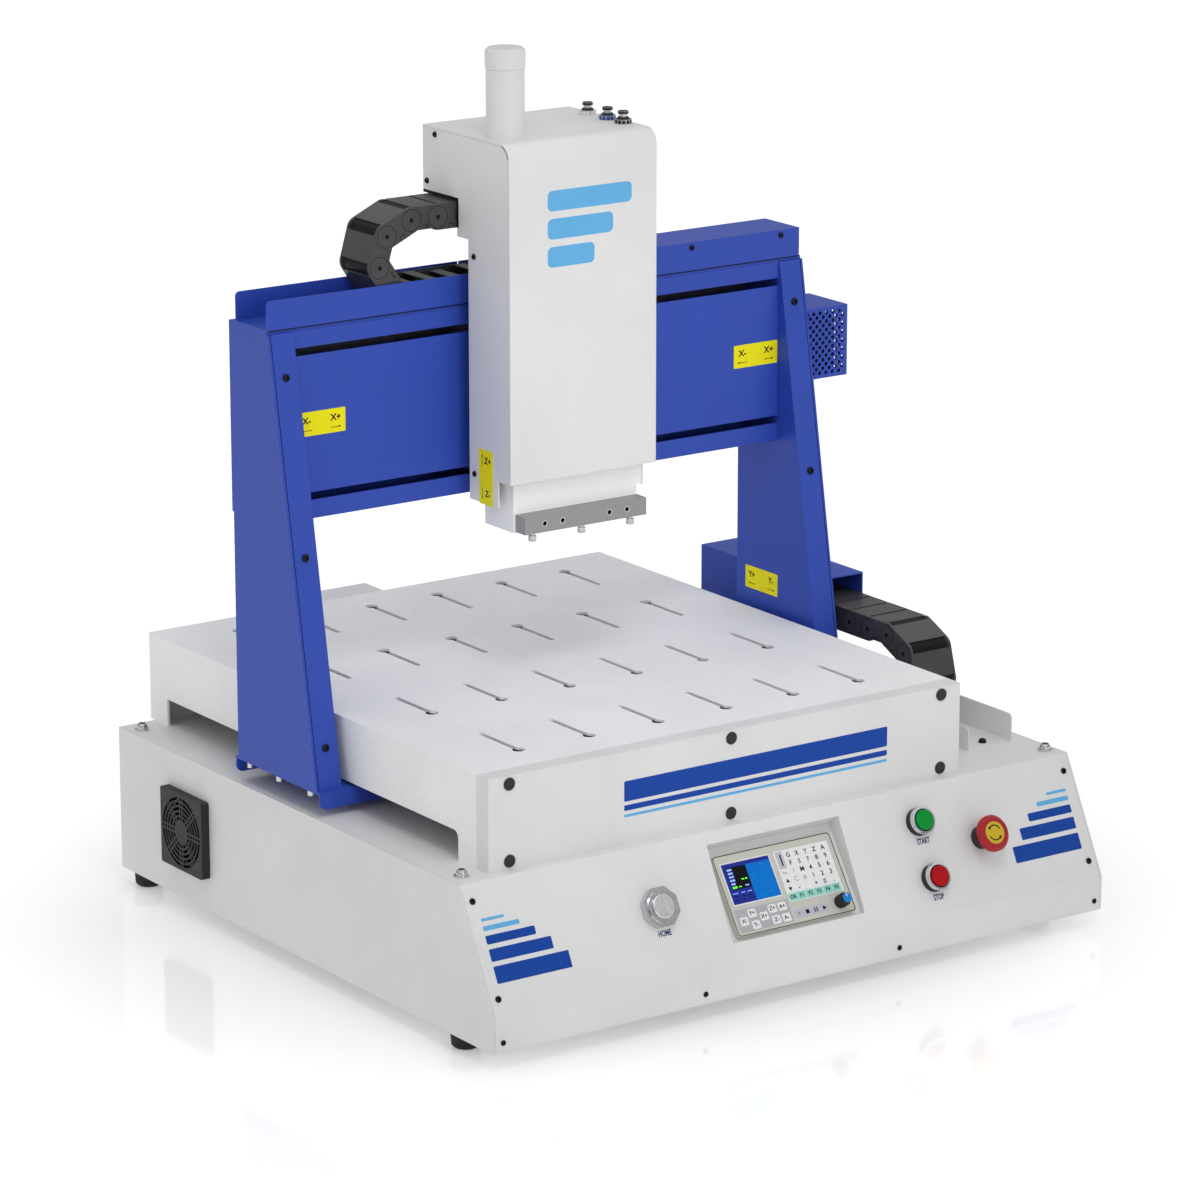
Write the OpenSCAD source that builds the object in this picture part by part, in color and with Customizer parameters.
// Desktop dispensing robot: a gantry over a slotted work table on a sheet-metal cabinet.
// Lengths are millimetres, +Z is up and -Y is the operator's side. The working frame below has x = 0
// on the cabinet's middle, y = 0 on its front lip and z = 0 on its underside; placed() moves it to
// the part's own frame, whose origin is the middle of the footprint on the standing surface.

/* [Cabinet] */
// Width of the cabinet
base_w = 800; // [760:1:900]
// Depth of the cabinet, front lip to back wall
base_d = 744; // [700:1:840]
// Height of the deck above the cabinet's underside
deck_z = 163; // [150:1:200]
// Height of the upright lip under the sloping panel
lip_h = 38; // [28:1:45]
// Set-back of the panel's top edge behind the lip
slope_d = 63; // [50:1:70]
// Sheet thickness of the cabinet tray
wall_t = 2; // [1.5:0.5:3]
// Sheet thickness of the folded top cover
cover_t = 2.5; // [2:0.5:3]
// Width of the flanges that carry the top cover
flange_w = 14; // [10:1:20]
// Diameter of a rubber foot
foot_d = 32; // [24:1:38]
// Height of a rubber foot
foot_h = 20; // [12:1:35]
// Distance of a foot's middle from the side wall
foot_in_x = 23; // [20:1:60]
// Distance of a front foot's middle from the lip
foot_front = 85; // [22:1:120]
// Distance of a rear foot's middle from the back wall
foot_rear = 19; // [19:1:90]

/* [Work table] */
// Width of the deck left beside the table, both sides together
deck_room = 188; // [180:1:200]
// Sideways shift of the table's middle from the cabinet's middle
table_shift = -48; // [-52:1:-44]
// Set-back of the table's front face behind the lip
table_y = 76; // [74:1:90]
// Overhang of the table's rear face behind the cabinet's back wall
table_over = 8; // [4:1:12]
// Height of the table top above the deck
table_h = 100; // [85:1:130]
// Sheet thickness of the table top and its sides
table_t = 3; // [2:0.5:4]
// Return flange of the table's front cover
front_return = 21; // [12:1:26]
// Sheet thickness of the front cover
front_t = 2; // [1.5:0.5:3]
// Thickness of the rear plate
rear_t = 12; // [10:1:14]
// Height of the side notch that the gantry foot passes through
notch_h = 31; // [30:1:40]
// Solid length of a side wall in front of the notch
notch_front = 55; // [45:1:58]
// Solid length of a side wall behind the notch
notch_rear = 37; // [30:1:38]
// Pitch of the keyhole columns
key_pitch = 88.5; // [70:0.5:92]
// Diameter of a keyhole's round end
key_d = 14; // [10:1:18]
// Width of a keyhole's slot
key_slot_w = 6; // [4.5:0.5:9]
// Length of a keyhole from the round end's middle to the slot's end
key_len = 72; // [50:1:78]
// Front keyhole row behind the table's front face
key_row_1 = 69.5; // [60:0.5:80]
// Last keyhole row ahead of the table's rear face
key_row_4 = 51; // [40:0.5:60]
// Share of the rows' length between the first two rows, and between the last two
key_share = 0.2925; // [0.27:0.0005:0.3]
// Diameter of a blanking plug on the front cover
plug_d = 13.5; // [8:0.5:16]

/* [Gantry] */
// Middle of the gantry foot behind the table's middle, at rest
gantry_rest = 0.5; // [-10:0.5:10]
// Length of the gantry foot along the travel
foot_len = 170; // [166:1:176]
// Sheet thickness of the gantry foot
foot_t = 2.5; // [2:0.5:3]
// Drop of the foot's flanges below its web
foot_drop = 16; // [10:1:18]
// Clear gap between a column and the table's side
col_gap = 10.6; // [8:0.1:12]
// Width of a column across the machine
col_w = 31.4; // [30:0.1:34]
// Height of a column
col_h = 475; // [440:1:560]
// Depth of a column at its foot
col_foot_d = 157.5; // [130:0.5:161]
// Depth of a column at its top
col_top_d = 75; // [73:1:81]
// Sheet thickness of a column
col_t = 2.5; // [2:0.5:3]
// Height of the crossbeam
beam_h = 203.5; // [196:0.5:220]
// Depth of the crossbeam
beam_d = 70; // [69:1:72]
// Sheet thickness of the crossbeam
beam_t = 3; // [2.5:0.5:3.5]
// Height of the crossbeam's upper front lip
lip_top = 18.5; // [14:0.5:22]
// Height of the crossbeam's lower front lip
lip_bottom = 20; // [14:0.5:22]
// Height of the two slots in the beam's front
slot_h = 8.5; // [8:0.5:12]
// Thickness of the beam's front panel
panel_t = 2; // [1.5:0.5:3]
// Sheet thickness of the cover behind the beam
back_t = 3; // [2:0.5:4]

/* [Linear guides and screws] */
// Height of the stack from the deck to the gantry foot's web
guide_stack = 25; // [24:1:28]
// Width of a linear rail
rail_w = 15; // [12:1:18]
// Height of a linear rail
rail_h = 12; // [10:1:13]
// Width of a guide block
block_w = 34; // [30:1:40]
// Length of a guide block
block_len = 58; // [45:1:60]
// Distance of a Y rail from the table's middle
y_rail_x = 200; // [150:1:220]
// Diameter of the X and Y ball screws
screw_d = 12; // [10:1:14]
// Diameter of a screw's bearing journal
journal_d = 9; // [8:0.5:9.5]
// Diameter of a motor shaft
shaft_d = 8; // [6:0.5:8]
// Radial running clearance of shafts
run_fit = 0.05; // [0.02:0.01:0.09]
// Width of a stepper motor's square flange
motor_w = 57; // [50:1:60]

/* [Drag chains] */
// Width of a drag chain
chain_w = 57; // [45:1:58]
// Height of a chain link
link_h = 28; // [24:1:28]
// Pitch of the chain's pins
link_pitch = 33.8; // [32:0.1:36]
// Bend radius at the pins
chain_r = 40.5; // [40:0.5:44]
// Thickness of a link's side plate
link_t = 3; // [2:0.5:4]
// Sheet thickness of trays and chain covers
tray_t = 1.5; // [1:0.5:2]

/* [Dispensing head] */
// Middle of the head from the cabinet's middle, at rest
head_x = -63.4; // [-75:0.1:-50]
// Width of the head
head_w = 189; // [184:1:194]
// Clear gap between the head and the crossbeam
head_gap = 20; // [16:1:22]
// Depth of the head in front of the beam
head_d = 77.7; // [76:0.1:84]
// Reach of the upper part over the beam, behind the head's lower back
head_over = 86; // [80:1:90]
// Height of the upper part over the drag chain
over_h = 73; // [68:1:90]
// Height of the cover's lower edge above the beam's lower edge
cover_rise = 28; // [24:1:34]
// Drop of the side panels' rear tabs below the cover's lower edge
tab_drop = 29; // [20:1:30]
// Bend radius of the cover's front edge
cover_r = 17; // [8:1:20]
// Sheet thickness of the head's panels
head_t = 2; // [1.5:0.5:2.5]
// Diameter of the supply tube
tube_d = 41; // [30:1:46]
// Height of the supply tube above the head
tube_h = 95; // [60:1:140]

/* [Z slide and tool bar] */
// Width of the Z slide
slide_w = 166; // [160:1:170]
// Depth of the Z slide
slide_d = 54; // [52:1:55]
// Drop of the slide below the head cover, at rest
slide_drop = 55.5; // [54:0.5:60]
// Length of the tool bar
bar_len = 158; // [120:1:160]
// Depth of the tool bar
bar_d = 18; // [12:1:24]
// Height of the tool bar
bar_h = 19; // [15:1:22]
// Diameter of the tool holes
bar_hole_d = 5; // [4:0.5:8]
// Spacing of the inner pair of tool holes
bar_hole_in = 61; // [50:1:70]
// Spacing of the outer pair of tool holes
bar_hole_out = 107; // [95:1:112]

/* [Operator panel] */
// START and STOP buttons from the cabinet's middle
button_x = 178; // [150:1:200]
// START and STOP buttons above and below the panel's middle
button_rise = 31; // [24:1:36]
// Outer diameter of a button bezel
bezel_d = 30; // [26:1:34]
// Diameter of a button cap
cap_d = 22.4; // [18:0.2:23]
// Emergency stop from the cabinet's middle
estop_x = 254; // [236:0.1:270]
// Diameter of the mushroom head
estop_d = 40; // [34:1:44]
// Height of the mushroom head above the panel
estop_h = 27; // [26:1:34]
// HOME button from the cabinet's middle
home_x = -172.6; // [-200:0.1:-140]
// Diameter across corners of the HOME button's nut
home_nut_d = 45; // [40:1:48]
// Controller from the cabinet's middle
ctrl_x = -7; // [-20:1:10]
// Width of the controller's face
ctrl_w = 155; // [145:1:160]
// Height of the controller's face
ctrl_h = 90; // [86:1:92]
// Depth that the controller's upper edge is sunk below the panel
ctrl_sink = 12; // [6:1:14]
// Diameter of the controller's knob
knob_d = 14; // [10:1:16]

/* [Cooling fan] */
// Size of the fan guard
guard_w = 87; // [82:1:92]
// Thickness of the fan guard
guard_t = 10; // [8:1:12]
// Middle of the fan ahead of the back wall
fan_in = 149; // [110:1:180]
// Middle of the fan above the cabinet's underside
fan_z = 80.5; // [64:0.5:90]
// Size of the fan's square frame
fan_w = 80; // [76:1:80]

/* [Hidden] */
$fn = 48;

white = "gainsboro";
blue = "#2f3f95";
black = "#2a2a2c";
steel = "silver";

// Small gap between neighbouring sheets, and overrun of a cut past its wall
fit = 0.3;
cut = 1;

// Operator panel: a slope from the lip to the deck
panel_tilt = atan2(slope_d, deck_z - lip_h);
panel_len = norm([slope_d, deck_z - lip_h]);
panel_mid = panel_len / 2;

// Table edges
table_w = base_w - deck_room;
tx0 = table_shift - table_w / 2;
tx1 = table_shift + table_w / 2;
ty1 = base_d + table_over;
table_len = ty1 - table_y;
gantry_y = table_y + table_len / 2 + gantry_rest;
tz1 = deck_z + table_h;

// Gantry edges: columns stand beside the table on the foot's web
gx0 = tx0 - col_gap - col_w;
gx1 = tx1 + col_gap + col_w;
gy0 = gantry_y - foot_len / 2;
gy1 = gantry_y + foot_len / 2;
web_z = deck_z + guide_stack;
col_z0 = web_z + foot_t;
col_z1 = col_z0 + col_h;
col_y1 = gy1 - back_t - 3;
col_slope = (col_foot_d - col_top_d) / col_h;
strip_t = 3;
beam_x0 = gx0 + col_w;
beam_x1 = gx1 - col_w;
beam_y0 = col_y1 - col_top_d + 1.5;
beam_y1 = beam_y0 + beam_d;
beam_z0 = col_z1 - beam_h;
beam_mid = (beam_z0 + col_z1) / 2;
slot_1 = beam_z0 + lip_bottom;
slot_2 = col_z1 - lip_top - slot_h;
cap_t = 3.5;

// Middle of the fan behind the lip
fan_y = base_d - fan_in;

// Ball screw axes
y_screw_x = table_shift - 46;
y_screw_z = deck_z + guide_stack / 2;
x_screw_y = beam_y0 + 41;
x_screw_z = beam_mid;
bearing_t = 18;
shaft_len = 20;

// Stations of the Y screw's bearings, clear of the foot's travel
y_front_brg = table_y + front_return + 3;
y_rear_brg = ty1 - rear_t - bearing_t - 3;

// X chain tray on top of the beam, and the two chains
tray_z = col_z1 + cap_t;
tray_y0 = beam_y0;
tray_h = link_h + 2 * tray_t + 1;
tray_w = chain_w + 2 * tray_t + 3;
tray_x1 = gx1 - 3.5;
tray_split = -118;
lid_x0 = -95;
chain_low = tray_z + tray_t + fit + link_h / 2;
chain_top = chain_low + 2 * chain_r;
x_chain_y = tray_y0 + tray_w / 2;
x_bend_in = 151;
x_bend_x = head_x - x_bend_in;
y_tray_y0 = table_y + 53;
y_tray_y1 = ty1 - 52;
y_chain_x = gx1 + 45;
y_chain_low = deck_z + tray_t + fit + link_h / 2;
y_chain_top = y_chain_low + 2 * chain_r;
y_bend_y = gantry_y - 136;
box_y0 = gantry_y - 15.5;
box_len = 206;

// Dispensing head
hx0 = head_x - head_w / 2;
hx1 = head_x + head_w / 2;
hy1 = beam_y0 - head_gap;
hy0 = hy1 - head_d;
hy2 = hy1 + head_over;
hz0 = beam_z0 + cover_rise;
over_z = chain_top + link_h / 2 + 1;
hz1 = over_z + over_h;
step_z = over_z - 38;
step_y = hy1 + 21;
plate_t = 6;
plate_y0 = hy1 - plate_t;

// Z slide inside the head
sz0 = hz0 - slide_drop;
sy0 = hy0 + 11.7;
sy1 = sy0 + slide_d;
slide_h = 150;
slide_t = 2;
slide_x0 = head_x - slide_w / 2;
slide_x1 = head_x + slide_w / 2 - 5.5;
cheek_w = 6.5;
cheek_rise = 31.5;
bar_x = head_x - 1.5;
floor_t = 6;
z_rail_x = 45;
z_rail_w = 12;
z_rail_h = 10;
z_screw_d = 10;
z_screw_y = plate_y0 - 24;
shelf_t = 8;
shelf_z = step_z - shelf_t;
z_foot = hz0 - tab_drop + 2;
z_foot_t = 12;
z_plate_y = plate_y0 - 48;
z_plate_t = 8;

// Emergency stop, as heights above the panel
neck = 14;
estop_gap = 13.5;
estop_rim_in = 3;
estop_collar_d = 25;
estop_collar_h = 9;

// Controller face frame: its lower edge lies on the panel, its upper edge is sunk
ctrl_tilt = asin(ctrl_sink / ctrl_h);
ctrl_s = panel_mid - 1 - ctrl_h / 2;
ctrl_flange = 5;
pocket_margin = 9;

// Motor cover behind the table, and the part's origin in the working frame
motor_cover_w = 100;
motor_cover_d = 39.6;
motor_cover_x = y_screw_x;
estop_front = min(0, (panel_mid - estop_d / 2 + estop_rim_in) * sin(panel_tilt) - estop_h * cos(panel_tilt));
origin_x = guard_t / 2;
origin_y = -(estop_front + ty1 + motor_cover_d) / 2;

// Placing and drawing helpers
module placed() { translate([origin_x, origin_y, foot_h]) children(); }

module block(x0, x1, y0, y1, z0, z1) {
    translate([x0, y0, z0]) cube([x1 - x0, y1 - y0, z1 - z0]);
}

module rod_x(d, x0, x1, y, z) { translate([x0, y, z]) rotate([0, 90, 0]) cylinder(d = d, h = x1 - x0); }

module rod_y(d, x, y0, y1, z) { translate([x, y0, z]) rotate([-90, 0, 0]) cylinder(d = d, h = y1 - y0); }

module rod_z(d, x, y, z0, z1) { translate([x, y, z0]) cylinder(d = d, h = z1 - z0); }

// Extrudes a (y, z) outline across the machine, and an (x, z) outline from front to back
module along_x(x0, x1) { translate([x0, 0, 0]) rotate([90, 0, 90]) linear_extrude(x1 - x0) children(); }

module along_y(y0, y1) { translate([0, y1, 0]) rotate([90, 0, 0]) linear_extrude(y1 - y0) children(); }

// Rectangle with round corners, from a corner point
module soft_rect(x0, y0, w, h, r) {
    translate([x0 + r, y0]) square([w - 2 * r, h]);
    translate([x0, y0 + r]) square([w, h - 2 * r]);
    for (x = [x0 + r, x0 + w - r], y = [y0 + r, y0 + h - r]) translate([x, y]) circle(r);
}

// Frame of the operator panel: x across, y up the slope, z out of the panel
module on_panel(x, s) {
    translate([x, s * sin(panel_tilt), lip_h + s * cos(panel_tilt)]) rotate([90 - panel_tilt, 0, 0])
        children();
}

module at_start() { on_panel(button_x, panel_mid + button_rise) children(); }

module at_stop() { on_panel(button_x, panel_mid - button_rise) children(); }

module at_estop() { on_panel(estop_x, panel_mid) children(); }

module at_home() { on_panel(home_x, panel_mid + 3) children(); }

// Frame of the controller's face: x from its middle, y up from its lower edge, z out of the face
module on_controller() {
    on_panel(ctrl_x, ctrl_s) rotate([-ctrl_tilt, 0, 0]) translate([0, 0, -2]) children();
}

// Inner corner of a folded sheet whose two inward normals are a and b
function miter(p, a, b, t) = p + t * (a + b) / (1 + a * b);

module cabinet_outline() {
    polygon([[0, 0], [base_d, 0], [base_d, deck_z], [slope_d, deck_z], [0, lip_h]]);
}

module cabinet_tray() {
    color(white) placed() {
        difference() {
            along_x(-base_w / 2, base_w / 2) cabinet_outline();
            block(-base_w / 2 + wall_t, base_w / 2 - wall_t, -cut, base_d - wall_t, wall_t, deck_z + cut);
            rod_x(fan_w - 4, -base_w / 2 - cut, -base_w / 2 + wall_t + cut, fan_y, fan_z);
            inlet_cutout(fit);
        }
        for (side = [-1, 1]) {
            x0 = side * (base_w / 2 - wall_t - flange_w / 2);
            block(x0 - flange_w / 2, x0 + flange_w / 2, slope_d + 15, base_d - wall_t,
                deck_z - cover_t - wall_t, deck_z - cover_t);
        }
    }
}

// Side view of the folded sheet: lip, sloping panel and deck
module cover_outline() {
    front = [1, 0];
    slope = [cos(panel_tilt), -sin(panel_tilt)];
    down = [0, -1];
    polygon([[0, wall_t], [0, lip_h], [slope_d, deck_z], [base_d - wall_t - fit, deck_z],
        [base_d - wall_t - fit, deck_z - cover_t], miter([slope_d, deck_z], slope, down, cover_t),
        miter([0, lip_h], front, slope, cover_t), [cover_t, wall_t]]);
}

module pocket(grow, floor_z) {
    on_controller() translate([-ctrl_w / 2 - pocket_margin - grow, -4 - grow, floor_z])
        cube([ctrl_w + 2 * (pocket_margin + grow), ctrl_h + pocket_margin + 6 + 2 * grow, 60]);
}

module top_cover() {
    color(white) placed() difference() {
        union() {
            along_x(-base_w / 2 + wall_t + fit, base_w / 2 - wall_t - fit) cover_outline();
            intersection() {
                pocket(cover_t, -ctrl_flange - cover_t);
                on_panel(0, -panel_len) translate([-base_w / 2, 0, -80]) cube([base_w, 3 * panel_len, 80]);
            }
        }
        pocket(0, -ctrl_flange);
        on_controller() translate([-ctrl_w / 2 + 4 - fit, 4 - fit, -2 * ctrl_flange - cover_t])
            cube([ctrl_w - 8 + 2 * fit, ctrl_h - 8 + 2 * fit, 30]);
        at_start() panel_hole();
        at_stop() panel_hole();
        at_estop() panel_hole();
        at_home() panel_hole();
    }
}

// Hole for the threaded neck of a panel control
neck_d = 22;
module panel_hole() { translate([0, 0, -3 * cover_t]) cylinder(d = neck_d + 2 * fit, h = 4 * cover_t); }

module rubber_feet() {
    edge = 3;
    color(black) placed() for (x = [-1, 1], y = [foot_front, base_d - foot_rear])
        translate([x * (base_w / 2 - foot_in_x), y, -foot_h]) rotate_extrude() polygon([[0, 0],
            [foot_d / 2 - edge - 1, 0], [foot_d / 2 - 1, edge], [foot_d / 2, foot_h - edge],
            [foot_d / 2, foot_h], [0, foot_h]]);
}

// Side wall of the table with the notch for the gantry foot, in (y, z)
module table_side() {
    y0 = table_y + front_return;
    n0 = table_y + notch_front;
    n1 = ty1 - notch_rear;
    r = 8;
    difference() {
        translate([y0, deck_z]) square([ty1 - y0, table_h]);
        translate([n0, deck_z - cut]) square([n1 - n0, notch_h + cut - r]);
        translate([n0 + r, deck_z]) square([n1 - n0 - r, notch_h]);
        translate([n0 + r, deck_z + notch_h - r]) circle(r);
    }
}

// One keyhole through the table: the slot runs from the round end towards dir
module keyhole(x, y, dir) {
    z0 = tz1 - table_t - cut;
    z1 = tz1 + cut;
    end = y + dir * (key_len - key_slot_w / 2);
    rod_z(key_d, x, y, z0, z1);
    rod_z(key_slot_w, x, end, z0, z1);
    block(x - key_slot_w / 2, x + key_slot_w / 2, min(y, end), max(y, end), z0, z1);
}

module table_top() {
    first = table_y + key_row_1;
    last = ty1 - key_row_4;
    step = key_share * (last - first);
    color(white) placed() {
        difference() {
            block(tx0, tx1, table_y + front_return, ty1, tz1 - table_t, tz1);
            for (i = [-2.5:1:2.5]) {
                x = table_shift + i * key_pitch;
                keyhole(x, first, 1);
                keyhole(x, first + step, 1);
                keyhole(x, last - step, -1);
                keyhole(x, last, -1);
            }
        }
        along_x(tx0, tx0 + table_t) table_side();
        along_x(tx1 - table_t, tx1) table_side();
    }
}

module table_front_cover() {
    color(white) placed() difference() {
        block(tx0, tx1, table_y, table_y + front_return, deck_z, tz1);
        block(tx0 + front_t, tx1 - front_t, table_y + front_t, table_y + front_return + cut,
            deck_z - cut, tz1 - front_t);
    }
}

module table_rear_plate() {
    color(white) placed() difference() {
        block(tx0 + table_t, tx1 - table_t, ty1 - rear_t, ty1, deck_z, tz1 - table_t);
        rod_y(shaft_d + 6, y_screw_x, ty1 - rear_t - cut, ty1 + cut, y_screw_z);
    }
}

module table_plugs() {
    edge_x = 26;
    edge_z = 9;
    head = 2;
    xs = [tx0 + edge_x, table_shift, tx1 - edge_x];
    color(black) placed() for (x = xs, z = [deck_z + edge_z, tz1 - edge_z]) translate([x, table_y, z])
         rotate([90, 0, 0]) rotate_extrude() polygon([[0, 0], [plug_d / 2, 0], [plug_d / 2, head / 2],
            [plug_d / 2 - head / 2, head], [0, head]]);
}

// Moulded fan guard: square rim, rings, paired spokes and a hub disc
module fan_guard() {
    face_t = 3;
    rim = 4;
    hub_d = 28;
    ring_w = 2;
    spoke_gap = 5;
    hole_d = guard_w - 2 * rim;
    color(black) placed() translate([-base_w / 2, fan_y, fan_z]) rotate([0, -90, 0]) {
        difference() {
            linear_extrude(guard_t) soft_rect(-guard_w / 2, -guard_w / 2, guard_w, guard_w, 3);
            translate([0, 0, -cut]) cylinder(d = hole_d, h = guard_t + 2 * cut);
        }
        translate([0, 0, guard_t - face_t]) linear_extrude(face_t) {
            circle(d = hub_d);
            for (d = [hub_d + 11:11:hole_d]) difference() {
                circle(d = d);
                circle(d = d - 2 * ring_w);
            }
            intersection() {
                circle(d = hole_d + cut);
                for (a = [0:45:135], side = [-1, 1]) rotate(a) translate([side * spoke_gap / 2, 0])
                    square([ring_w, hole_d + cut], center = true);
            }
        }
    }
}

fan_t = 25;
fan_hub_d = 30;
fan_pin_d = 5;

// Frame of the cooling fan, seen from inside the cabinet: x from the wall inwards
module in_fan() { placed() translate([-base_w / 2 + wall_t, fan_y, fan_z]) rotate([0, 90, 0]) children(); }

module fan_frame() {
    strut_t = 3;
    color(black) in_fan() difference() {
        union() {
            difference() {
                linear_extrude(fan_t) soft_rect(-fan_w / 2, -fan_w / 2, fan_w, fan_w, 4);
                translate([0, 0, -cut]) cylinder(d = fan_w - 4, h = fan_t + 2 * cut);
            }
            translate([0, 0, fan_t - strut_t]) linear_extrude(strut_t) {
                circle(d = fan_hub_d);
                for (a = [0, 90]) rotate(a) square([4, fan_w - 2], center = true);
            }
        }
        cylinder(d = fan_pin_d + 2 * run_fit, h = fan_t + cut);
    }
}

module fan_rotor() {
    blade_w = 17;
    blade_t = 1.6;
    hub_h = 19;
    reach = fan_w / 2 - 4.5;
    color(black) in_fan() {
        translate([0, 0, 2]) cylinder(d = fan_hub_d, h = hub_h);
        translate([0, 0, 2]) cylinder(d = fan_pin_d, h = fan_t - 2);
        for (i = [0:6]) rotate(i * 360 / 7) translate([fan_hub_d / 2 - 2, 0, 2 + hub_h / 2]) rotate([42, 0, 0])
            translate([0, -blade_w / 2, -blade_t / 2]) cube([reach - fan_hub_d / 2 + 2, blade_w, blade_t]);
    }
}

// Controller: bezel on the pocket's floor, body through the window, encoder shaft for the knob
screen_x = -69.5;
screen_y = 34.5;
screen_w = 62;
screen_h = 45;
screen_t = 1;
knob_in = 17.5;
knob_x = ctrl_w / 2 - knob_in;
knob_y = 13;
knob_h = 15;
encoder_d = 6;

module controller_housing() {
    body_d = 30;
    color("#c8c8be") placed() on_controller() difference() {
        union() {
            translate([0, 0, -ctrl_flange]) linear_extrude(ctrl_flange + 2)
                soft_rect(-ctrl_w / 2, 0, ctrl_w, ctrl_h, 4);
            translate([-ctrl_w / 2 + 4, 4, -ctrl_flange - body_d]) cube([ctrl_w - 8, ctrl_h - 8, body_d]);
            translate([knob_x, knob_y, 0]) cylinder(d = encoder_d, h = knob_h - 3);
        }
        translate([screen_x, screen_y, 2 - screen_t]) cube([screen_w, screen_h, screen_t + cut]);
    }
}

module controller_screen() {
    color("#1c4fb0") placed() on_controller() translate([screen_x + 0.1, screen_y + 0.1, 2 - screen_t])
        cube([screen_w - 0.2, screen_h - 0.2, screen_t - 0.2]);
}

module controller_knob() {
    grip_h = knob_h - 5;
    color(black) placed() on_controller() translate([knob_x, knob_y, 2 + fit]) difference() {
        union() {
            cylinder(d = knob_d, h = grip_h);
            translate([0, 0, grip_h]) cylinder(d1 = knob_d, d2 = knob_d - 3, h = 2);
            cylinder(d = knob_d - 3, h = knob_h);
        }
        translate([0, 0, -cut]) cylinder(d = encoder_d + 2 * run_fit, h = knob_h - 4);
    }
}

// Panel controls: a bezel with a threaded neck, a cap that travels in it, a contact block behind
cap_gap = 0.3;
cap_rise = 15;
cap_foot = 6;
bezel_h = 12;
stem_d = 17;

module neck_tube() {
    translate([0, 0, -neck]) difference() {
        cylinder(d = neck_d, h = neck + 1);
        translate([0, 0, -cut]) cylinder(d = stem_d + 2 * cap_gap, h = neck + 2 + cut);
    }
}

module bezel_ring(h, step) {
    difference() {
        union() {
            cylinder(d = bezel_d, h = h - step);
            cylinder(d = bezel_d - 2, h = h);
        }
        translate([0, 0, 1]) cylinder(d = cap_d + 2 * cap_gap, h = h);
        translate([0, 0, -cut]) cylinder(d = stem_d + 2 * cap_gap, h = h);
    }
    neck_tube();
}

module push_cap() {
    edge = 0.8;
    rotate_extrude() polygon([[0, -neck + 2], [stem_d / 2, -neck + 2], [stem_d / 2, cap_foot],
        [cap_d / 2, cap_foot], [cap_d / 2, cap_rise - edge], [cap_d / 2 - edge, cap_rise], [0, cap_rise]]);
}

module button_bezels() {
    color(black) placed() {
        at_start() bezel_ring(bezel_h, 4);
        at_stop() bezel_ring(bezel_h, 4);
    }
}

module start_button() { color("#009a3d") placed() at_start() push_cap(); }

module stop_button() { color("#b5141c") placed() at_stop() push_cap(); }

home_cap_d = 26;
home_h = 10;

module home_bezel() {
    color(steel) placed() at_home() {
        difference() {
            union() {
                rotate(22.5) cylinder(d = home_nut_d, h = home_h - 2, $fn = 8);
                cylinder(d = home_cap_d + 8, h = home_h);
            }
            translate([0, 0, 1]) cylinder(d = home_cap_d + 2 * cap_gap, h = home_h);
            translate([0, 0, -cut]) cylinder(d = stem_d + 2 * cap_gap, h = home_h);
        }
        neck_tube();
    }
}

module home_button() {
    edge = 1;
    top = home_h + 2.5;
    color(steel) placed() at_home() rotate_extrude() polygon([[0, -neck + 2], [stem_d / 2, -neck + 2],
        [stem_d / 2, cap_foot], [home_cap_d / 2, cap_foot], [home_cap_d / 2, top - edge],
        [home_cap_d / 2 - edge, top], [0, top]]);
}

module estop_collar() {
    color(black) placed() at_estop() {
        difference() {
            cylinder(d = estop_collar_d, h = estop_collar_h);
            translate([0, 0, -cut]) cylinder(d = stem_d + 2 * cap_gap, h = estop_collar_h + 2 * cut);
        }
        neck_tube();
    }
}

estop_pin_d = 10;
estop_pin_h = 10;

module estop_stem() {
    color(black) placed() at_estop() {
        translate([0, 0, -neck + 2]) cylinder(d = stem_d, h = neck - 2 + estop_gap);
        translate([0, 0, estop_gap]) cylinder(d = estop_pin_d, h = estop_pin_h);
    }
}

module estop_head() {
    r = estop_d / 2;
    rim = estop_h - estop_gap;
    color("#b03535") placed() at_estop() translate([0, 0, estop_gap + 0.05]) difference() {
        rotate_extrude() polygon([[0, 0], [r - 8, 0], [r - 6, 4], [r, 7], [r, rim - 3],
            [r - estop_rim_in, rim - 0.05], [0, rim - 0.05]]);
        translate([0, 0, -cut]) cylinder(d = estop_pin_d + 2 * run_fit, h = estop_pin_h + cut + fit);
    }
}

module contact_block() {
    w = 28;
    d = 30;
    relief = 8;
    translate([0, 0, -neck]) difference() {
        translate([-w / 2, -w / 2, -d]) cube([w, w, d]);
        translate([0, 0, -relief]) cylinder(d = stem_d + 4 * cap_gap, h = relief + cut);
    }
}

module switch_blocks() {
    color(black) placed() {
        at_start() contact_block();
        at_stop() contact_block();
        at_estop() contact_block();
        at_home() contact_block();
    }
}

// Y drive under the table: rails on the deck, a ball screw in two bearings, motor behind the rear plate
module y_rails() {
    color(steel) placed() for (side = [-1, 1]) {
        x = table_shift + side * y_rail_x;
        block(x - rail_w / 2, x + rail_w / 2, y_front_brg, ty1 - rear_t - 4, deck_z, deck_z + rail_h);
    }
}

module y_bearing(y) {
    w = 50;
    difference() {
        block(y_screw_x - w / 2, y_screw_x + w / 2, y, y + bearing_t, deck_z, deck_z + guide_stack);
        rod_y(journal_d + 2 * run_fit, y_screw_x, y - cut, y + bearing_t + cut, y_screw_z);
    }
}

module y_screw_bearings() {
    color(black) placed() {
        y_bearing(y_front_brg);
        y_bearing(y_rear_brg);
    }
}

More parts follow.
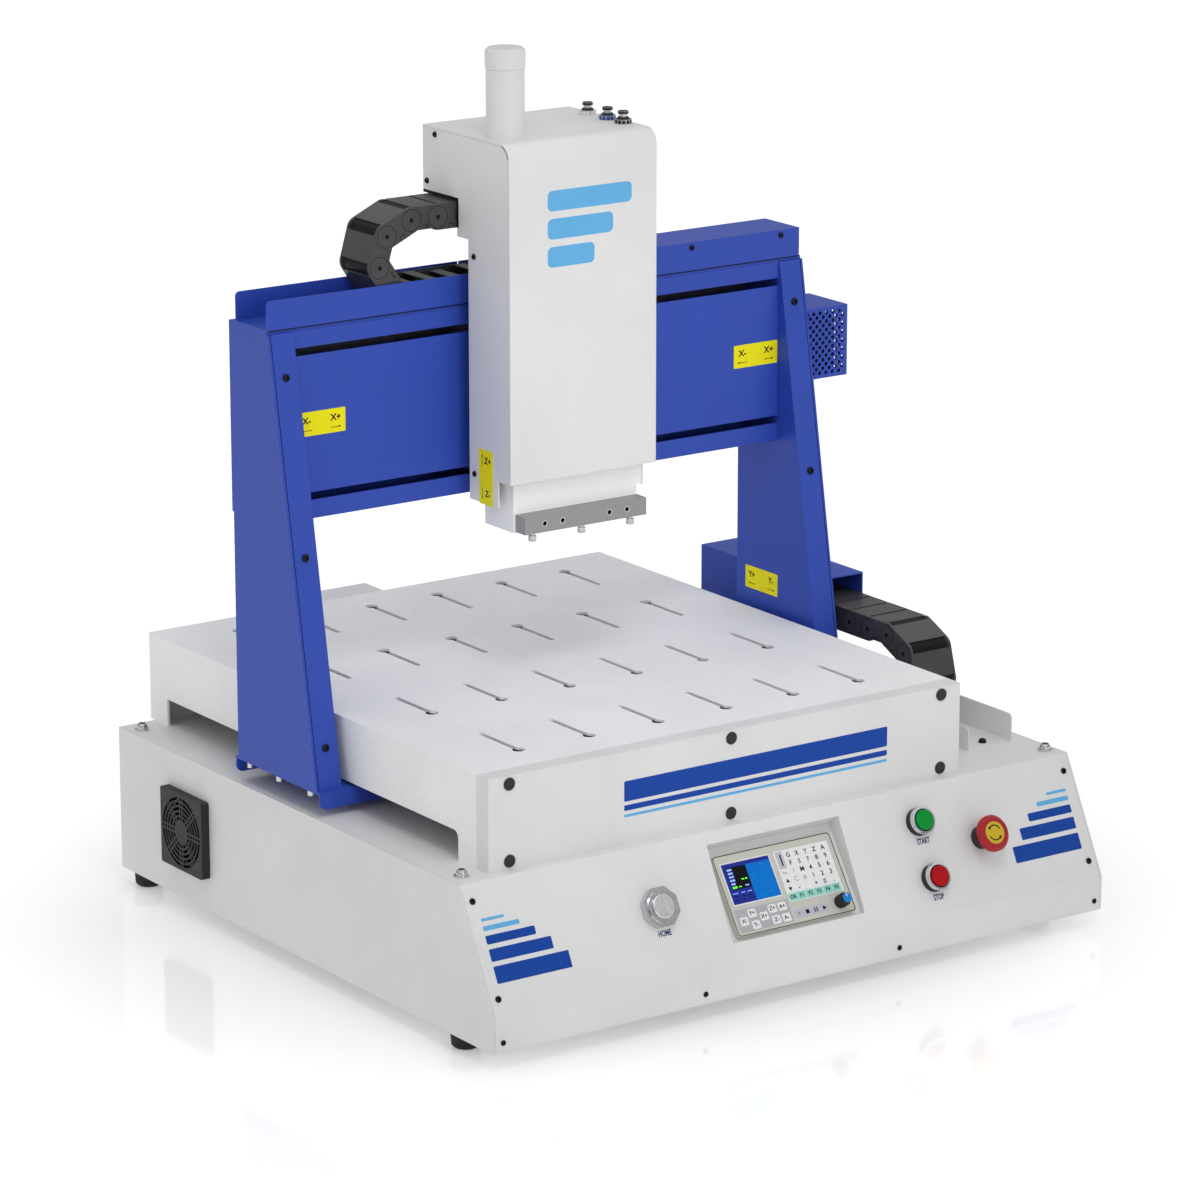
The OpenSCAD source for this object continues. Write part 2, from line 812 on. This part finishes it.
module y_screw() {
    color(steel) placed() {
        rod_y(screw_d, y_screw_x, y_front_brg + bearing_t + fit, y_rear_brg - fit, y_screw_z);
        rod_y(journal_d, y_screw_x, y_front_brg + 1, y_rear_brg + bearing_t + 1, y_screw_z);
        rod_y(shaft_d, y_screw_x, y_rear_brg, ty1 + shaft_len - 2, y_screw_z);
    }
}

// Stepper motor: flange with its shaft hole at the origin, body along +z
module stepper(length) {
    corner = 6;
    difference() {
        linear_extrude(length) soft_rect(-motor_w / 2, -motor_w / 2, motor_w, motor_w, corner);
        translate([0, 0, -cut]) cylinder(d = shaft_d + 2 * run_fit, h = shaft_len + cut);
    }
}

module y_motor() {
    color(black) placed() translate([y_screw_x, ty1, y_screw_z]) rotate([-90, 0, 0])
        stepper(motor_cover_d - tray_t - 1.6);
}

module y_motor_cover() {
    x0 = motor_cover_x - motor_cover_w / 2;
    x1 = motor_cover_x + motor_cover_w / 2;
    z0 = y_screw_z - motor_w / 2 - 8;
    color(white) placed() difference() {
        block(x0, x1, ty1, ty1 + motor_cover_d, z0, tz1);
        block(x0 + tray_t, x1 - tray_t, ty1 - cut, ty1 + motor_cover_d - tray_t, z0 - cut, tz1 - tray_t);
    }
}

module y_chain_tray() {
    x0 = y_chain_x - chain_w / 2 - tray_t - 0.7;
    x1 = y_chain_x + chain_w / 2 + tray_t + 0.7;
    low = 26;
    color(white) placed() {
        block(x0, x1, y_tray_y0, y_tray_y1, deck_z, deck_z + tray_t);
        along_x(x0, x0 + tray_t) soft_wall(y_tray_y0, y_tray_y1, deck_z, low);
        along_x(x1 - tray_t, x1) soft_wall(y_tray_y0, y_tray_y1, deck_z, tray_h);
    }
}

// Upright wall with round upper corners
module soft_wall(y0, y1, z0, h) {
    r = 5;
    translate([y0, z0]) square([y1 - y0, h - r]);
    translate([y0 + r, z0]) square([y1 - y0 - 2 * r, h]);
    for (y = [y0 + r, y1 - r]) translate([y, z0 + h - r]) circle(r);
}

// Power inlet on the back wall, with its socket and three blades
inlet_x = 250;
inlet_z = 80;
inlet_w = 27;
inlet_h = 20;

module inlet_cutout(grow) {
    block(inlet_x - inlet_w / 2 - grow, inlet_x + inlet_w / 2 + grow, base_d - wall_t - cut, base_d + cut,
        inlet_z - inlet_h / 2 - grow, inlet_z + inlet_h / 2 + grow);
}

module power_inlet() {
    flange_t = 3;
    depth = 22;
    socket_w = 22;
    socket_h = 15;
    color(black) placed() {
        difference() {
            union() {
                along_y(base_d, base_d + flange_t) soft_rect(inlet_x - 25, inlet_z - 14, 50, 28, 4);
                block(inlet_x - inlet_w / 2, inlet_x + inlet_w / 2, base_d - depth, base_d,
                    inlet_z - inlet_h / 2, inlet_z + inlet_h / 2);
            }
            block(inlet_x - socket_w / 2, inlet_x + socket_w / 2, base_d - depth + 3, base_d + flange_t + cut,
                inlet_z - socket_h / 2, inlet_z + socket_h / 2);
        }
        for (i = [-1:1]) block(inlet_x + 6 * i - 1, inlet_x + 6 * i + 1, base_d - depth + 2, base_d - 4,
            inlet_z - 2 + 2 * (1 - abs(i)), inlet_z + 2 + 2 * (1 - abs(i)));
    }
}

// Units on the cabinet's floor, halfway back
unit_y = base_d / 2 + 8;

module power_supply() {
    w = 200;
    d = 110;
    h = 50;
    vent_pitch = 18;
    vent_w = 7;
    vent_depth = 2;
    margin = 20;
    side_in = 140;
    x0 = -base_w / 2 + side_in;
    color(steel) placed() difference() {
        block(x0, x0 + w, unit_y, unit_y + d, wall_t, wall_t + h);
        for (i = [0:9]) {
            x = x0 + 15 + vent_pitch * i;
            block(x, x + vent_w, unit_y + margin, unit_y + d - margin,
                wall_t + h - vent_depth, wall_t + h + cut);
        }
    }
}

module motor_drivers() {
    w = 34;
    d = 118;
    h = 75;
    pitch = 70;
    fin = 12;
    fin_t = 6;
    fin_pitch = 20;
    color(black) placed() for (i = [0:2]) {
        x = 20 + pitch * i;
        block(x, x + w, unit_y, unit_y + d, wall_t, wall_t + h);
        for (k = [0:5]) block(x + w, x + w + fin, unit_y + fin_t + fin_pitch * k,
            unit_y + 2 * fin_t + fin_pitch * k, wall_t, wall_t + h);
    }
}

// Drag chain in the (u, w) plane: top run, a bend of pins on a circle, then the lower run.
// u grows away from the bend, w is up; the bend's middle is at u = 0 and the lower run at w = 0.
bend_step = 2 * asin(link_pitch / 2 / chain_r);
bend_pins = floor(180 / bend_step);
function bend_pin(i) = [-chain_r * sin(i * bend_step), chain_r * (1 + cos(i * bend_step))];
last_bend = bend_pin(bend_pins);
low_start = last_bend[0] + sqrt(pow(link_pitch, 2) - pow(last_bend[1], 2));
function chain_pins(top_n, low_n) = concat(
    [for (i = [top_n:-1:1]) [i * link_pitch, 2 * chain_r]],
    [for (i = [0:bend_pins]) bend_pin(i)],
    [for (i = [0:low_n]) [low_start + i * link_pitch, 0]]);

// One link between two pins, its +y side towards the middle of the bend. Outer links have eyes with bores,
// inner links are lower and carry the pins. Their outer bars lap under the outer links' bars, and the bars
// on the inner side are short, so that neighbours fold clear.
link_gap = 0.3;
bar_t = 1.5;
bar_end = 1.2;
bar_lap = 2.2;
lap_turn = 15;
outer_r = link_h / 2;
inner_r = outer_r - bar_t - link_gap;
pin_d = 10;
pin_proud = 0.4;

module link_outline(r) {
    circle(r);
    translate([link_pitch, 0]) circle(r);
    translate([0, -r]) square([link_pitch, 2 * r]);
}

module link_bars(r, x0, x1, w) {
    short = link_pitch * 0.4;
    translate([x0, -r, -w / 2]) cube([x1 - x0, bar_t, w]);
    translate([(link_pitch - short) / 2, r - bar_t, -w / 2]) cube([short, bar_t, w]);
}

// Lap round a pin in the bend: it goes on from the bar and closes the way to the next link's bar
module bend_lap(sweep, w) {
    far = 2 * inner_r;
    linear_extrude(w, center = true) intersection() {
        difference() {
            circle(inner_r);
            circle(inner_r - bar_t);
        }
        polygon([[0, 0], [0, -far], [far * sin(sweep), -far * cos(sweep)]]);
    }
}

module outer_link() {
    difference() {
        union() {
            for (z = [-chain_w / 2, chain_w / 2 - link_t]) translate([0, 0, z]) linear_extrude(link_t)
                link_outline(outer_r);
            link_bars(outer_r, bar_end, link_pitch - bar_end, chain_w - link_t);
        }
        for (x = [0, link_pitch]) translate([x, 0, 0])
            cylinder(d = pin_d + 2 * run_fit, h = chain_w + 2 * cut, center = true);
    }
}

module inner_link(turn_0, turn_1) {
    w = chain_w - 2 * (link_t + link_gap);
    bent_0 = turn_0 > lap_turn;
    bent_1 = turn_1 > lap_turn;
    for (z = [-w / 2, w / 2 - link_t]) translate([0, 0, z]) linear_extrude(link_t) link_outline(inner_r);
    link_bars(inner_r, bent_0 ? 0 : -bar_lap, link_pitch + (bent_1 ? 0 : bar_lap), w - link_t);
    if (bent_0) mirror([1, 0, 0]) bend_lap(turn_0, w - link_t);
    if (bent_1) translate([link_pitch, 0, 0]) bend_lap(turn_1, w - link_t);
    for (x = [0, link_pitch], side = [0, 180]) translate([x, 0, 0]) rotate([side, 0, 0])
        translate([0, 0, w / 2 - link_t / 2]) cylinder(d = pin_d, h = (chain_w - w + link_t) / 2 + pin_proud);
}

function heading(pins, i) = atan2(pins[i + 1][1] - pins[i][1], pins[i + 1][0] - pins[i][0]);
function turn_at(pins, i) = i < 1 || i > len(pins) - 2 ? 0 :
    (heading(pins, i) - heading(pins, i - 1) + 360) % 360;

module chain(pins) {
    for (i = [0:len(pins) - 2]) translate([pins[i][0], pins[i][1], 0]) rotate(heading(pins, i)) {
        if (i % 2 == 0) outer_link();
        if (i % 2 == 1) inner_link(turn_at(pins, i), turn_at(pins, i + 1));
    }
}

module y_cable_chain() {
    color(black) placed() translate([y_chain_x, y_bend_y, y_chain_low]) rotate([90, 0, 90])
        chain(chain_pins(6, 8));
}

module x_cable_chain() {
    color(black) placed() translate([x_bend_x, x_chain_y, chain_low]) rotate([90, 0, 0])
        chain(chain_pins(4, 6));
}

// Gantry foot: a channel under the table, its flanges notched over the rails and the screw
module gantry_foot() {
    r = 8;
    rail_gap = block_w / 2 + 10;
    nut_gap = 36;
    color(blue) placed() {
        block(gx0, gx1, gy0, gy1, web_z, col_z0);
        for (y = [gy0, gy1 - foot_t]) difference() {
            along_y(y, y + foot_t) soft_rect(gx0, web_z - foot_drop, gx1 - gx0, foot_drop + foot_t, r);
            for (side = [-1, 1]) {
                x = table_shift + side * y_rail_x;
                block(x - rail_gap, x + rail_gap, y - cut, y + foot_t + cut, deck_z, web_z);
            }
            block(y_screw_x - nut_gap, y_screw_x + nut_gap, y - cut, y + foot_t + cut, deck_z, web_z);
            block(gx0 - cut, gx1 + cut, y - cut, y + foot_t + cut, col_z0, col_z0 + r);
        }
        for (y = [gy0, gy1 - foot_t], x = [gx0, gx1 - r]) block(x, x + r, y, y + foot_t, web_z - cut, col_z0);
    }
}

// Guide blocks on the Y rails, and the nut block on the Y screw
module y_guide_blocks() {
    under = 4;
    groove = rail_w + 2 * fit;
    spread = foot_len / 2 - block_len / 2 - foot_t - 4;
    nut_w = 44;
    nut_len = 50;
    color(steel) placed() {
        for (side = [-1, 1], end = [-1, 1]) {
            x = table_shift + side * y_rail_x;
            y = gantry_y + end * spread;
            difference() {
                block(x - block_w / 2, x + block_w / 2, y - block_len / 2, y + block_len / 2,
                    deck_z + under, web_z);
                block(x - groove / 2, x + groove / 2, y - block_len, y + block_len,
                    deck_z, deck_z + rail_h + fit);
            }
        }
        difference() {
            block(y_screw_x - nut_w / 2, y_screw_x + nut_w / 2, gantry_y - nut_len / 2, gantry_y + nut_len / 2,
                deck_z + under, web_z);
            rod_y(screw_d + 2 * run_fit, y_screw_x, gantry_y - nut_len, gantry_y + nut_len, y_screw_z);
        }
    }
}

// Column: a tapered channel open to the front, closed by a cover strip
function col_front(z) = col_y1 - col_foot_d + (z - col_z0) * col_slope;

module col_outline(inset, back) {
    polygon([[col_front(col_z0) + inset, col_z0], [col_front(col_z1) + inset, col_z1], [back, col_z1],
        [back, col_z0]]);
}

module column(x0) {
    difference() {
        along_x(x0, x0 + col_w) col_outline(0, col_y1);
        along_x(x0 + col_t, x0 + col_w - col_t) polygon([[0, col_z0 - cut], [0, col_z1 + cut],
            [col_y1 - col_t, col_z1 + cut], [col_y1 - col_t, col_z0 - cut]]);
        along_x(x0 + col_t, x0 + col_w + cut) polygon([[0, col_z0 - cut], [0, col_z1 + cut],
            [col_front(col_z1 + cut) + strip_t, col_z1 + cut],
            [col_front(col_z0 - cut) + strip_t, col_z0 - cut]]);
    }
}

// Mirror image about the table's middle plane
module mirrored() { translate([2 * table_shift, 0, 0]) mirror([1, 0, 0]) children(); }

module left_column() { color(blue) placed() column(gx0); }

module right_column() {
    clear_d = 34;
    color(blue) placed() difference() {
        mirrored() column(gx0);
        rod_x(clear_d, beam_x1 - cut, gx1 + cut, x_screw_y, x_screw_z);
    }
}

module cover_strip() {
    along_x(gx0 + col_t + 1, gx0 + col_w) polygon([[col_front(col_z0), col_z0], [col_front(col_z1), col_z1],
        [col_front(col_z1) + strip_t, col_z1], [col_front(col_z0) + strip_t, col_z0]]);
}

// Two front strips, and the folded cover behind the beam that closes the columns' upper ends
module column_covers() {
    top = col_z1 + cap_t;
    color(blue) placed() {
        cover_strip();
        mirrored() cover_strip();
        block(gx0, gx1, col_y1, col_y1 + back_t, beam_z0, top);
        block(gx0, gx1, beam_y1, col_y1 + cut, col_z1, top);
    }
}

// Crossbeam: a lipped channel between the columns under a cap plate that rests on both
module crossbeam() {
    color(blue) placed() {
        difference() {
            block(beam_x0, beam_x1, beam_y0, beam_y1, beam_z0, col_z1);
            block(beam_x0 - cut, beam_x1 + cut, beam_y0 + beam_t, beam_y1 - beam_t,
                beam_z0 + beam_t, col_z1 - beam_t);
            block(beam_x0 - cut, beam_x1 + cut, beam_y0 - cut, beam_y0 + beam_t + cut,
                slot_1, slot_2 + slot_h);
        }
        block(gx0, gx1 - 1, beam_y0 + 1, beam_y1, col_z1, col_z1 + cap_t);
    }
}

module beam_front_panel() {
    color(blue) placed() block(beam_x0 + fit, beam_x1 - fit, beam_y0, beam_y0 + panel_t,
        slot_1 + slot_h, slot_2);
}

// X drive inside the beam
x_rail_z = 66;
rail_y = beam_y1 - beam_t;

module x_rails() {
    color(steel) placed() for (side = [-1, 1]) {
        z = beam_mid + side * x_rail_z;
        block(beam_x0 + 4, beam_x1 - 4, rail_y - rail_h, rail_y, z - rail_w / 2, z + rail_w / 2);
    }
}

module x_bearing(x) {
    w = 40;
    difference() {
        block(x, x + bearing_t, x_screw_y - w / 2, x_screw_y + w / 2, x_screw_z - w / 2, x_screw_z + w / 2);
        rod_x(journal_d + 2 * run_fit, x - cut, x + bearing_t + cut, x_screw_y, x_screw_z);
    }
}

module x_screw_bearings() {
    color(black) placed() {
        x_bearing(beam_x0);
        x_bearing(beam_x1 - bearing_t);
    }
}

module x_screw() {
    coupling_d = 25;
    color(steel) placed() {
        rod_x(screw_d, beam_x0 + bearing_t + fit, beam_x1 - bearing_t - fit, x_screw_y, x_screw_z);
        rod_x(journal_d, beam_x0 + 1, beam_x1 + 2, x_screw_y, x_screw_z);
        rod_x(shaft_d, beam_x1, gx1 + shaft_len - 2, x_screw_y, x_screw_z);
        rod_x(coupling_d, beam_x1 + 4, gx1 - 4, x_screw_y, x_screw_z);
    }
}

x_motor_len = 56;

module x_motor() {
    color(black) placed() translate([gx1, x_screw_y, x_screw_z]) rotate([0, 90, 0]) stepper(x_motor_len);
}

// Perforated cover over the X motor: holes in the front and in the end face
module x_motor_cover() {
    reach = 70;
    half_y = 35.5;
    half_z = 40.5;
    t = 1.5;
    hole_d = 4.5;
    pitch = 9;
    row = 4.9;
    edge = 5;
    color(blue) placed() difference() {
        block(gx1, gx1 + reach, x_screw_y - half_y, x_screw_y + half_y,
            x_screw_z - half_z, x_screw_z + half_z);
        block(gx1 - cut, gx1 + reach - t, x_screw_y - half_y + t, x_screw_y + half_y - t,
            x_screw_z - half_z + t, x_screw_z + half_z - t);
        translate([gx1, x_screw_y - half_y + t + cut, x_screw_z]) rotate([90, 0, 0])
            linear_extrude(t + 2 * cut) for (k = [-7:7], i = [1:7]) {
                u = i * pitch + (k % 2 == 0 ? 0 : pitch / 2);
                if (u < reach - edge) translate([u, k * row]) circle(d = hole_d);
            }
        translate([gx1 + reach - t - cut, x_screw_y, x_screw_z]) rotate([90, 0, 90])
            linear_extrude(t + 2 * cut) for (k = [-7:7], i = [-3:3]) {
                u = i * pitch + (k % 2 == 0 ? 0 : pitch / 2);
                if (u < half_y - edge) translate([u, k * row]) circle(d = hole_d);
            }
    }
}

// X chain tray on the beam: open at the left, under a cover at the right
module x_chain_tray() {
    r = 5;
    color(blue) placed() {
        block(gx0, tray_x1, tray_y0, tray_y0 + tray_w, tray_z, tray_z + tray_t);
        for (y = [tray_y0, tray_y0 + tray_w - tray_t]) along_y(y, y + tray_t) {
            translate([gx0, tray_z]) square([tray_split - gx0, tray_h - r]);
            translate([gx0 + r, tray_z]) square([tray_split - gx0 - r, tray_h]);
            translate([gx0 + r, tray_z + tray_h - r]) circle(r);
        }
    }
}

module x_tray_cover() {
    x0 = tray_split + 2;
    z0 = tray_z + tray_t;
    z1 = tray_z + tray_h;
    color(blue) placed() difference() {
        block(x0, tray_x1, tray_y0, tray_y0 + tray_w, z0, z1);
        block(x0 - cut, tray_x1 - tray_t, tray_y0 + tray_t, tray_y0 + tray_w - tray_t, z0 - cut, z1 - tray_t);
        block(x0 - cut, lid_x0, tray_y0 + tray_t, tray_y0 + tray_w - tray_t, z0, z1 + cut);
    }
}

// Box on the right column that the Y chain's upper run slides into
module y_chain_box() {
    side_room = 1.5;
    floor_room = 4;
    roof_room = 23.5;
    x1 = y_chain_x + chain_w / 2 + tray_t + side_room;
    z0 = y_chain_top - link_h / 2 - floor_room;
    z1 = y_chain_top + link_h / 2 + roof_room;
    color(blue) placed() difference() {
        block(gx1, x1, box_y0, box_y0 + box_len, z0, z1);
        block(gx1 + tray_t, x1 - tray_t, box_y0 - cut, box_y0 + box_len - tray_t, z0 + tray_t, z1 - tray_t);
    }
}

// X carriage: the head's back plate, two arms through the beam's slots, the plate on the guide blocks,
// a nut block, a motor shelf and the Z screw's lower bearing
carriage_y = beam_y0 + 12;
carriage_t = 8;
carriage_w = 140;
block_y0 = rail_y - guide_stack;

module x_carriage() {
    arm_t = 5;
    x0 = head_x - carriage_w / 2;
    x1 = head_x + carriage_w / 2;
    nut = 20;
    shelf_half = 36;
    shelf_out = 30;
    foot_half = 18;
    foot_out = 14;
    arm_1 = slot_1 + slot_h / 2 - arm_t / 2;
    arm_2 = slot_2 + slot_h / 2 - arm_t / 2;
    spread = carriage_w / 2 - block_len / 2;
    color(steel) placed() difference() {
        union() {
            block(hx0 + head_t, hx1 - head_t, plate_y0, hy1, hz0 - tab_drop, step_z);
            for (z = [arm_1, arm_2]) block(x0, x1, plate_y0, carriage_y + carriage_t, z, z + arm_t);
            block(x0, x1, carriage_y, carriage_y + carriage_t, arm_1, arm_2 + arm_t);
            for (side = [-1, 1], end = [-1, 1]) {
                z = beam_mid + side * x_rail_z;
                x = head_x + end * spread;
                block(x - block_len / 2, x + block_len / 2, carriage_y + carriage_t, block_y0,
                    z - block_w / 2, z + block_w / 2);
            }
            block(head_x - nut, head_x + nut, carriage_y, x_screw_y + nut - 3,
                x_screw_z - nut, x_screw_z + nut);
            block(head_x - shelf_half, head_x + shelf_half, z_screw_y - shelf_out, plate_y0, shelf_z, step_z);
            block(head_x - foot_half, head_x + foot_half, z_screw_y - foot_out, plate_y0,
                z_foot, z_foot + z_foot_t);
        }
        rod_x(screw_d + 2 * run_fit, x0 - cut, x1 + cut, x_screw_y, x_screw_z);
        rod_z(24, head_x, z_screw_y, shelf_z - cut, step_z + cut);
        rod_z(shaft_d + 2 * run_fit, head_x, z_screw_y, z_foot - cut, z_foot + z_foot_t + cut);
    }
}

module x_guide_blocks() {
    under = 4;
    groove = rail_w + 2 * fit;
    spread = carriage_w / 2 - block_len / 2;
    color(steel) placed() for (side = [-1, 1], end = [-1, 1]) {
        z = beam_mid + side * x_rail_z;
        x = head_x + end * spread;
        difference() {
            block(x - block_len / 2, x + block_len / 2, block_y0, rail_y - under,
                z - block_w / 2, z + block_w / 2);
            block(x - block_len, x + block_len, rail_y - rail_h - fit, rail_y,
                z - groove / 2, z + groove / 2);
        }
    }
}

// Outline of the head's cover with its bent front edge, in (y, z)
module head_outline(inset, low) {
    r = cover_r - inset;
    y0 = hy0 + inset;
    z1 = hz1 - inset;
    translate([y0 + r, low]) square([hy2 - y0 - r, z1 - low]);
    translate([y0, low]) square([hy2 - y0, z1 - low - r]);
    translate([y0 + r, z1 - r]) circle(r);
}

module head_front_cover() {
    color(white) placed() difference() {
        along_x(hx0, hx1) head_outline(0, hz0);
        along_x(hx0 - cut, hx1 + cut) {
            head_outline(head_t, hz0 - cut);
            translate([hy1, hz0 - cut]) square([head_over + cut, hz1 - hz0 - head_t + cut]);
        }
    }
}

// Side panel inside the cover: stepped behind for the beam and the drag chain, with a tab at the bottom
module head_side_panels() {
    tab_y = hy0 + 24;
    gap = head_t + 0.2;
    color(white) placed() for (x = [hx0, hx1 - head_t]) difference() {
        along_x(x, x + head_t) {
            head_outline(gap, hz0);
            translate([tab_y, hz0 - tab_drop]) square([hy1 - tab_y, tab_drop + cut]);
        }
        block(x - cut, x + head_t + cut, hy1, hy2 + cut, hz0 - tab_drop - cut, step_z);
        block(x - cut, x + head_t + cut, step_y, hy2 + cut, step_z - cut, over_z);
    }
}

module head_rear_cover() {
    t = head_t;
    top = hz1 - head_t;
    color(white) placed() along_x(hx0 + head_t, hx1 - head_t) polygon([[hy1, step_z], [step_y, step_z],
        [step_y, over_z], [hy2, over_z], [hy2, top], [hy2 - t, top], [hy2 - t, over_z + t],
        [step_y - t, over_z + t], [step_y - t, step_z + t], [hy1, step_z + t]]);
}

module supply_tube() {
    cap_h = 22;
    lip = 1;
    r = tube_d / 2;
    color(white) placed() translate([hx0 + 28, hy0 + 48, hz1]) rotate_extrude() polygon([[0, 0], [r, 0],
        [r, tube_h - cap_h], [r + lip, tube_h - cap_h + 1], [r + lip, tube_h - 3], [r - 2, tube_h],
        [0, tube_h]]);
}

module air_fittings() {
    nut_r = 9;
    nut_h = 4.5;
    collar_r = 6.5;
    neck_r = 4.2;
    ring_r = 5.6;
    neck_z = 7;
    ring_z = 10;
    top = 13;
    bore_r = 3;
    color(steel) placed() for (y = [46, 75, 112]) translate([hx1 - 11, hy0 + y, hz1]) rotate_extrude()
        polygon([[0, 0], [nut_r, 0], [nut_r, nut_h], [collar_r, nut_h], [neck_r, neck_z], [neck_r, ring_z],
            [ring_r, ring_z], [ring_r, top], [bore_r, top], [bore_r, 2], [0, 2]]);
}

module z_motor() {
    color(black) placed() translate([head_x, z_screw_y, step_z]) stepper(50);
}

module z_rails() {
    color(steel) placed() for (side = [-1, 1]) block(head_x + side * z_rail_x - z_rail_w / 2,
        head_x + side * z_rail_x + z_rail_w / 2, plate_y0 - z_rail_h, plate_y0, hz0 - 12, shelf_z - 2);
}

module z_screw() {
    color(steel) placed() {
        rod_z(z_screw_d, head_x, z_screw_y, z_foot + z_foot_t + fit, shelf_z - 4);
        rod_z(shaft_d, head_x, z_screw_y, z_foot + 1, step_z + shaft_len - 2);
    }
}

// Z slide: a folded shell with a floor, the plate behind it with its guide blocks, and the nut block
module z_slide() {
    groove = z_rail_w + 2 * fit;
    under = 4;
    blk_h = 60;
    blk_z = sz0 + 90;
    nut = 16;
    nut_rise = 32;
    plate_half = 72;
    pad_half = 15;
    color(white) placed() difference() {
        union() {
            difference() {
                block(slide_x0, slide_x1, sy0, sy1, sz0, sz0 + slide_h);
                block(slide_x0 + slide_t, slide_x1 - slide_t, sy0 + slide_t, sy1 + cut,
                    sz0 + floor_t, sz0 + slide_h + cut);
            }
            block(slide_x1 - slide_t, slide_x1 + cheek_w, sy0, sy1, sz0 + cheek_rise, sz0 + slide_h);
            block(head_x - plate_half, head_x + plate_half, z_plate_y, z_plate_y + z_plate_t,
                sz0 + floor_t, sz0 + slide_h + 20);
            for (side = [-1, 1]) {
                x = head_x + side * z_rail_x;
                block(x - pad_half, x + pad_half, z_plate_y + z_plate_t, plate_y0 - under,
                    blk_z, blk_z + blk_h);
            }
            block(head_x - nut, head_x + nut, z_plate_y + z_plate_t, z_screw_y + nut,
                blk_z + nut_rise, blk_z + blk_h);
        }
        for (side = [-1, 1]) {
            x = head_x + side * z_rail_x;
            block(x - groove / 2, x + groove / 2, plate_y0 - z_rail_h - fit, plate_y0 + cut, blk_z - cut,
                blk_z + blk_h + cut);
        }
        rod_z(z_screw_d + 2 * run_fit, head_x, z_screw_y, blk_z - cut, blk_z + blk_h + cut);
    }
}

module tool_bar() {
    z0 = sz0 + 1;
    color("#969696") placed() difference() {
        block(bar_x - bar_len / 2, bar_x + bar_len / 2, sy0 - bar_d, sy0, z0, z0 + bar_h);
        for (x = [bar_hole_in / 2, bar_hole_out / 2], side = [-1, 1])
            rod_y(bar_hole_d, bar_x + side * x, sy0 - bar_d - cut, sy0 + cut, z0 + bar_h / 2);
    }
}

cabinet_tray();
top_cover();
rubber_feet();
table_top();
table_front_cover();
table_rear_plate();
table_plugs();
fan_guard();
fan_frame();
fan_rotor();
controller_housing();
controller_screen();
controller_knob();
home_bezel();
button_bezels();
estop_collar();
switch_blocks();
home_button();
start_button();
stop_button();
estop_stem();
estop_head();
y_rails();
y_screw_bearings();
y_motor();
y_motor_cover();
y_chain_tray();
power_inlet();
power_supply();
motor_drivers();
y_screw();
y_cable_chain();
gantry_foot();
y_guide_blocks();
left_column();
right_column();
column_covers();
crossbeam();
beam_front_panel();
x_rails();
x_screw_bearings();
x_motor();
x_motor_cover();
x_chain_tray();
x_tray_cover();
y_chain_box();
x_screw();
x_cable_chain();
x_carriage();
x_guide_blocks();
head_front_cover();
head_side_panels();
head_rear_cover();
supply_tube();
air_fittings();
z_motor();
z_rails();
z_screw();
z_slide();
tool_bar();
